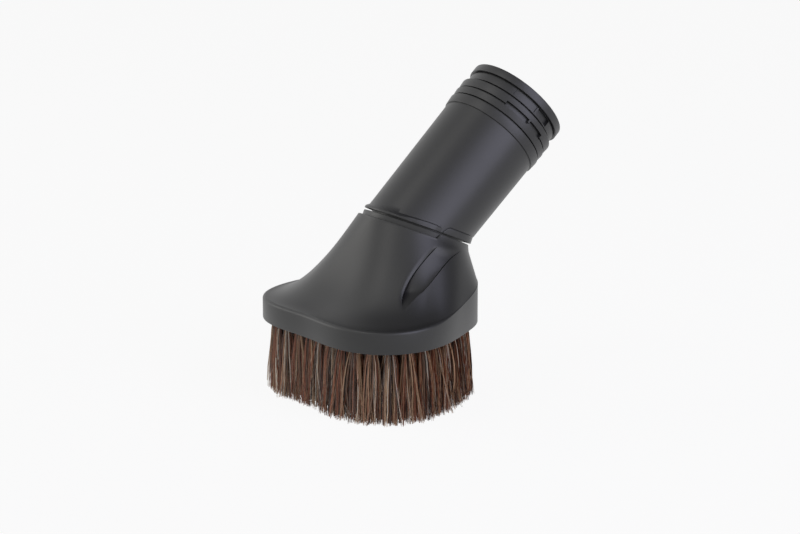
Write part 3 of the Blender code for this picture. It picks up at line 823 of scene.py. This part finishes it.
def horsehair(name, dark, pale):
    """Hair of one class of colour, which varies from strand to strand."""
    material, tree, output = blank_material(name)
    place = add_node(tree, "ShaderNodeTexCoord").outputs["Object"]
    along = add_node(
        tree,
        "ShaderNodeMapping",
        {"Vector": place, "Scale": (1, 1, HAIR_STREAK / HAIR_STREAK_LENGTH)},
    )
    streak = add_node(
        tree,
        "ShaderNodeTexNoise",
        {"Vector": along.outputs["Vector"], "Scale": 1 / HAIR_STREAK, "Detail": 2.0},
    )
    spread = add_node(
        tree,
        "ShaderNodeMapRange",
        {"Value": streak.outputs["Fac"], "From Min": STREAK_SPREAD[0], "From Max": STREAK_SPREAD[1]},
    )
    tone = add_node(
        tree,
        "ShaderNodeMix",
        {"Factor": spread.outputs["Result"], "A": linear(dark), "B": linear(pale)},
        data_type="RGBA",
    )
    shader = add_node(
        tree,
        "ShaderNodeBsdfPrincipled",
        {"Base Color": tone.outputs["Result"], "Roughness": HAIR_ROUGHNESS, "IOR": HAIR_IOR},
    )
    tree.links.new(shader.outputs["BSDF"], output.inputs["Surface"])
    return material


# Name, share of the hairs, and the two tones
HAIR_KINDS = (
    ("black_brown", 0.29, "#23150f", "#402a21"),
    ("chestnut", 0.29, "#74412b", "#ad6c4d"),
    ("umber", 0.17, "#614533", "#98765e"),
    ("tan", 0.16, "#b58f6d", "#e2c09c"),
    ("bleached", 0.09, "#e2d4bd", "#f8f0e2"),
)
hair_materials = [horsehair(f"horsehair_{name}", dark, pale) for name, _, dark, pale in HAIR_KINDS]
print("hair colours:", len(hair_materials))

# %% [markdown]
# The hair stands in 54 tufts in two rows, folded over a staple in blind holes, as in any punched
# brush. Close to its hole a tuft is a tight round bundle. It opens within a few millimetres until it
# meets its neighbours, so the dark gaps are only at the roots. Hairs cling together in threes: each
# three start inside the hole, follow their tuft, and share a wave and a lean. A few lean across the
# others, and a few on the outside stray. Each hair is a thin three-sided tube. Modelled strands are
# used, not particle hair, because the mesh is what is kept.

# %% The tufts
TUFT_ROWS = ((32, 5.9 * MM), (22, 11.6 * MM))
TUFT_SPREADS = ((2.2 * MM, 8.7 * MM), (8.7 * MM, 15.0 * MM))
TUFT_ROOT_RADIUS = 1.8 * MM
TUFT_OPENING = ((0.0, 0.0), (4.0 * MM, 0.45), (14.0 * MM, 0.85), (SKIRT_BOTTOM, 1.0))
CLUMPS = 4600
HAIRS_IN_CLUMP = 3
CLUMP_WIDTH = 0.18 * MM
HAIR_RADIUS = 0.11 * MM
HAIR_SIDES = 3
HAIR_DEPTHS = np.array([-0.8, 2.0, 5.5, 10.5, 16.0, 22.0, 28.1]) * MM
HAIR_SEED = 11
ROW_SAMPLES = 720
HAIR_SIZES = (0.7, 1.15)
HAIR_TAPER = (1.0, 0.95, 0.65)
CLUMP_SPREAD = (0.5, 1.5)
SAME_COLOUR = 0.8
TIP_REACH = 0.95
TIP_SCATTER = 0.55 * MM
OPENING_VARIATION = 0.25
END_VARIATION = 0.25 * MM
WAVE_SIZE = 0.28 * MM
WAVE_LENGTHS = (11 * MM, 24 * MM)
USUAL_LEAN = 1.1 * MM
CROSSING_LEAN = 3.2 * MM
CROSSING_SHARE = 0.18
# Strays are among the outside row's hairs that stand in its outermost 2 mm
OUTSIDE_ROW = 3 * MM
OUTERMOST = 2.0 * MM
STRAY_SHARE = 0.15
STRAY_SHAPE = 2.0
STRAY_SIZE = 1.0 * MM
STRAY_LIMIT = 2.6 * MM
STRAY_RISE = 1.2 * MM


def row_stations(count, inset):
    """Angles that space a row of tufts evenly along its own line."""
    angle = np.linspace(0, TURN, ROW_SAMPLES + 1)
    line = outline_hoop(angle, inset, 0)
    travel = np.concatenate([[0], np.cumsum(np.linalg.norm(np.diff(line, axis=0), axis=1))])
    return np.interp((np.arange(count) + 0.5) / count * travel[-1], travel, angle)


def tuft_table():
    """For every tuft: its angle, its inset, half the width of its share of the row, and its two insets."""
    rows = []
    for (count, inset), (near, far) in zip(TUFT_ROWS, TUFT_SPREADS):
        stations = row_stations(count, inset)
        wide = np.remainder(np.roll(stations, -1) - np.roll(stations, 1), TURN) / 4
        rows += [(angle, inset, half, near, far) for angle, half in zip(stations, wide)]
    return np.array(rows)


def hair_paths(random, count):
    """Points along the middle of each clump of hairs, from inside its hole to its tip."""
    tufts = tuft_table()
    area = tufts[:, 2] * (tufts[:, 4] - tufts[:, 3])
    pick = random.choice(len(tufts), count, p=area / area.sum())
    angle, inset, half, near, far = tufts[pick].T
    reach = np.sqrt(random.random(count))
    turn = random.random(count) * TURN
    sine, cosine = np.sin(turn), np.cos(turn)
    stretch = reach / np.maximum(np.abs(sine), np.abs(cosine))
    root = outline_hoop(angle, inset, 0)
    east = np.stack([np.cos(angle), np.sin(angle), 0 * angle], axis=1)
    north = np.stack([-np.sin(angle), np.cos(angle), 0 * angle], axis=1)
    width = (TUFT_ROOT_RADIUS * reach)[:, None]
    root = root + width * (east * cosine[:, None] + north * sine[:, None])
    across = (near + far) / 2 + stretch * sine * (far - near) / 2 * TIP_REACH
    tip = outline_hoop(angle + half * cosine * stretch, across, 0)
    tip[:, :2] += random.normal(0, TIP_SCATTER, (count, 2))
    out = outward(angle)
    outermost = (near < OUTSIDE_ROW) & (across < near + OUTERMOST)
    stray = outermost & (random.random(count) < STRAY_SHARE)
    strays_by = np.where(stray, random.gamma(STRAY_SHAPE, STRAY_SIZE, count), 0)
    strays_by = np.minimum(strays_by, STRAY_LIMIT)
    lean = random.normal(0, 1, count)
    lean *= np.where(random.random(count) < CROSSING_SHARE, CROSSING_LEAN, USUAL_LEAN)
    east_lean = east * lean[:, None]
    opening = np.array(TUFT_OPENING)
    own = np.exp(random.normal(0, OPENING_VARIATION, count))
    wave = random.rayleigh(WAVE_SIZE, count)
    wave_turn = random.random(count) * TURN
    wave_length = random.uniform(*WAVE_LENGTHS, count)
    wave_start = random.random(count) * TURN
    end = SKIRT_BOTTOM - np.abs(random.normal(0, END_VARIATION, count)) - np.where(stray, STRAY_RISE, 0)
    paths = []
    for depth in HAIR_DEPTHS:
        depth = depth * end / SKIRT_BOTTOM if depth > 0 else np.full(count, depth)
        share = np.interp(depth, opening[:, 0], opening[:, 1]) ** own
        down = np.clip(depth / SKIRT_BOTTOM, 0, 1)
        point = root + (tip - root) * share[:, None]
        point += (out * strays_by[:, None] + east_lean) * (down**2)[:, None]
        swing = wave * down * np.sin(depth / wave_length * TURN + wave_start)
        point[:, 0] += swing * np.cos(wave_turn)
        point[:, 1] += swing * np.sin(wave_turn)
        point[:, 2] = SKIRT_BOTTOM - depth
        paths.append(point)
    return np.stack(paths, axis=1)


def strand_mesh(paths, radii):
    """Points and faces of three-sided tubes along the paths, each tapered to its tip."""
    count, length, _ = paths.shape
    turn = np.arange(HAIR_SIDES) / HAIR_SIDES * TURN
    ring = np.stack([np.cos(turn), np.sin(turn), 0 * turn], axis=1)
    taper = np.interp(np.arange(length), (0, length - 2, length - 1), HAIR_TAPER)
    points = paths[:, :, None, :] + ring * (radii[:, None] * taper)[:, :, None, None]
    index = np.arange(count * length * HAIR_SIDES).reshape(count, length, HAIR_SIDES)
    beside = np.roll(index, -1, axis=2)
    sides = np.stack([index[:, :-1], beside[:, :-1], beside[:, 1:], index[:, 1:]], axis=-1)
    ends = np.concatenate([index[:, 0, ::-1], index[:, -1]])
    return points.reshape(-1, 3), sides.reshape(-1, 4).tolist() + ends.tolist()


random = np.random.default_rng(HAIR_SEED)
member = np.repeat(np.arange(CLUMPS), HAIRS_IN_CLUMP)
hairs = len(member)
paths = hair_paths(random, CLUMPS)[member]
beside = random.normal(0, CLUMP_WIDTH, (hairs, 1, 2))
paths[..., :2] += beside * np.linspace(*CLUMP_SPREAD, len(HAIR_DEPTHS))[:, None]
radii = HAIR_RADIUS * random.uniform(*HAIR_SIZES, hairs)
shares = [share for _, share, _, _ in HAIR_KINDS]
clump_kind = random.choice(len(HAIR_KINDS), CLUMPS, p=shares)
own_kind = random.choice(len(HAIR_KINDS), hairs, p=shares)
kind = np.where(random.random(hairs) < SAME_COLOUR, clump_kind[member], own_kind)
tuft_nodes = [name for name in frame["nodes"] if name.startswith("tuft_") and name != "tuft_ring"]
for number, (name, _, _, _) in enumerate(HAIR_KINDS):
    mine = kind == number
    points, faces = strand_mesh(paths[mine], radii[mine])
    strands = new_piece(f"hair_{name}", points.tolist(), faces, hair_materials[number], "head")
    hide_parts(*tuft_nodes)

# %% [markdown]
# The ring that holds the tufts is black polypropylene, which stays a little waxy, and the split ring
# on the spigot is acetal, slick and hard. Both keep their solids, as their shapes are already right.

# %% The two rings
def plain_moulding(name, dark, pale, roughness, ior, grain):
    """A moulded plastic seen only in shade: two near tones and a fine grain."""
    material, tree, output = blank_material(name)
    place = add_node(tree, "ShaderNodeTexCoord").outputs["Object"]
    cloud = add_node(tree, "ShaderNodeTexNoise", {"Vector": place, "Scale": 1 / grain, "Detail": 3.0})
    tone = add_node(
        tree,
        "ShaderNodeMix",
        {"Factor": cloud.outputs["Fac"], "A": linear(dark), "B": linear(pale)},
        data_type="RGBA",
    )
    shader = add_node(
        tree,
        "ShaderNodeBsdfPrincipled",
        {"Base Color": tone.outputs["Result"], "Roughness": roughness, "IOR": ior},
    )
    tree.links.new(shader.outputs["BSDF"], output.inputs["Surface"])
    return material


ring_finishes = {
    "tuft_ring": plain_moulding("moulded_polypropylene", "#1d1d1d", "#2a2a2a", 0.5, 1.49, 2 * MM),
    "retaining_ring": plain_moulding("moulded_acetal", "#161616", "#202020", 0.3, 1.48, 2 * MM),
}
for node, finish in ring_finishes.items():
    frame["nodes"][node].data.materials.clear()
    frame["nodes"][node].data.materials.append(finish)
print("rings:", list(ring_finishes))

# %% [markdown]
# A white sweep in a studio whose ceiling is dark towards the back. Black plastic shows little colour
# of its own, so what it reflects draws its form: a tall cool window on the right, a soft box low on the
# left, and a weaker one overhead. Facets that look up at the dark ceiling go nearly black. The floor
# and the walls look white to the camera and in reflections, and the floor keeps a faint shadow.

# %% Floor, world and lamps
FLOOR_RADIUS = 6.0
FLOOR_WHITE = 0.92
AMBIENT = 0.35
CEILING_DIRECTION = (0.0, 0.6, 0.8)
CEILING_EDGE = (0.50, 0.78)
CEILING_TONE = 0.22


def light_path(tree, rays):
    """1 for the named kinds of ray, 0 for others."""
    path = add_node(tree, "ShaderNodeLightPath")
    seen = path.outputs[rays[0]]
    for ray in rays[1:]:
        either = add_node(tree, "ShaderNodeMath", {0: seen, 1: path.outputs[ray]}, operation="MAXIMUM")
        seen = either.outputs[0]
    return seen


def make_floor():
    mesh = bpy.data.meshes.new("floor")
    mesh.from_pydata([(x, y, 0) for x, y in ((-1, -1), (1, -1), (1, 1), (-1, 1))], [], [(0, 1, 2, 3)])
    mesh.transform(Matrix.Scale(FLOOR_RADIUS, 4))
    floor = bpy.data.objects.new("floor", mesh)
    bpy.context.scene.collection.objects.link(floor)
    material, tree, output = blank_material("white_sweep")
    paper = add_node(tree, "ShaderNodeBsdfDiffuse", {"Color": linear("#f4f4f4")})
    glow = add_node(tree, "ShaderNodeEmission", {"Color": (1, 1, 1, 1), "Strength": 1.0})
    rays = light_path(tree, ("Is Camera Ray", "Is Glossy Ray", "Is Transmission Ray"))
    seen = add_node(tree, "ShaderNodeMath", {0: rays, 1: FLOOR_WHITE}, operation="MULTIPLY")
    mixed = add_node(
        tree,
        "ShaderNodeMixShader",
        {0: seen.outputs[0], 1: paper.outputs["BSDF"], 2: glow.outputs["Emission"]},
    )
    tree.links.new(mixed.outputs[0], output.inputs["Surface"])
    mesh.materials.append(material)


def make_world():
    world = bpy.data.worlds.new("studio")
    bpy.context.scene.world = world
    world.use_nodes = True
    tree = world.node_tree
    tree.nodes.clear()
    direction = add_node(tree, "ShaderNodeTexCoord").outputs["Generated"]
    overhead = add_node(
        tree, "ShaderNodeVectorMath", {0: direction, 1: CEILING_DIRECTION}, operation="DOT_PRODUCT"
    )
    walls = add_node(
        tree,
        "ShaderNodeMapRange",
        {
            "Value": overhead.outputs["Value"],
            "From Min": CEILING_EDGE[0],
            "From Max": CEILING_EDGE[1],
            "To Min": 1.0,
            "To Max": CEILING_TONE,
        },
    )
    mirrored = light_path(tree, ("Is Glossy Ray", "Is Transmission Ray"))
    level = add_node(tree, "ShaderNodeMapRange", {"Value": mirrored, "To Min": AMBIENT, "To Max": 1.0})
    room = add_node(
        tree,
        "ShaderNodeMath",
        {0: walls.outputs["Result"], 1: level.outputs["Result"]},
        operation="MULTIPLY",
    )
    camera_ray = light_path(tree, ("Is Camera Ray",))
    strength = add_node(tree, "ShaderNodeMath", {0: room.outputs[0], 1: camera_ray}, operation="MAXIMUM")
    sky = add_node(tree, "ShaderNodeBackground", {"Color": (1, 1, 1, 1), "Strength": strength.outputs[0]})
    output = tree.nodes.new("ShaderNodeOutputWorld")
    tree.links.new(sky.outputs["Background"], output.inputs["Surface"])


def soft_box(name, azimuth, elevation, width, height, watts, color):
    """A lamp a metre from the brush, at degrees round from the toe and up, that faces it."""
    lamp = bpy.data.lights.new(name, "AREA")
    lamp.shape = "RECTANGLE"
    lamp.size = width
    lamp.size_y = height
    lamp.energy = watts
    lamp.color = linear(color)[:3]
    obj = bpy.data.objects.new(name, lamp)
    turn, rise = math.radians(azimuth), math.radians(elevation)
    toward = Vector((math.sin(turn) * math.cos(rise), -math.cos(turn) * math.cos(rise), math.sin(rise)))
    obj.location = CAMERA_TARGET + toward
    obj.rotation_mode = "QUATERNION"
    obj.rotation_quaternion = toward.to_track_quat("Z", "Y")
    bpy.context.scene.collection.objects.link(obj)


make_floor()
make_world()
soft_box("cool_window_right", 106, 29, 0.66, 1.10, 5.4, "#e3e3ff")
soft_box("soft_box_left", -55, 13, 0.50, 0.50, 1.3, "#fffdf8")
soft_box("soft_box_overhead", -12, 58, 0.45, 0.45, 0.8, "#fffdf8")
bpy.context.scene.view_settings.view_transform = "Standard"
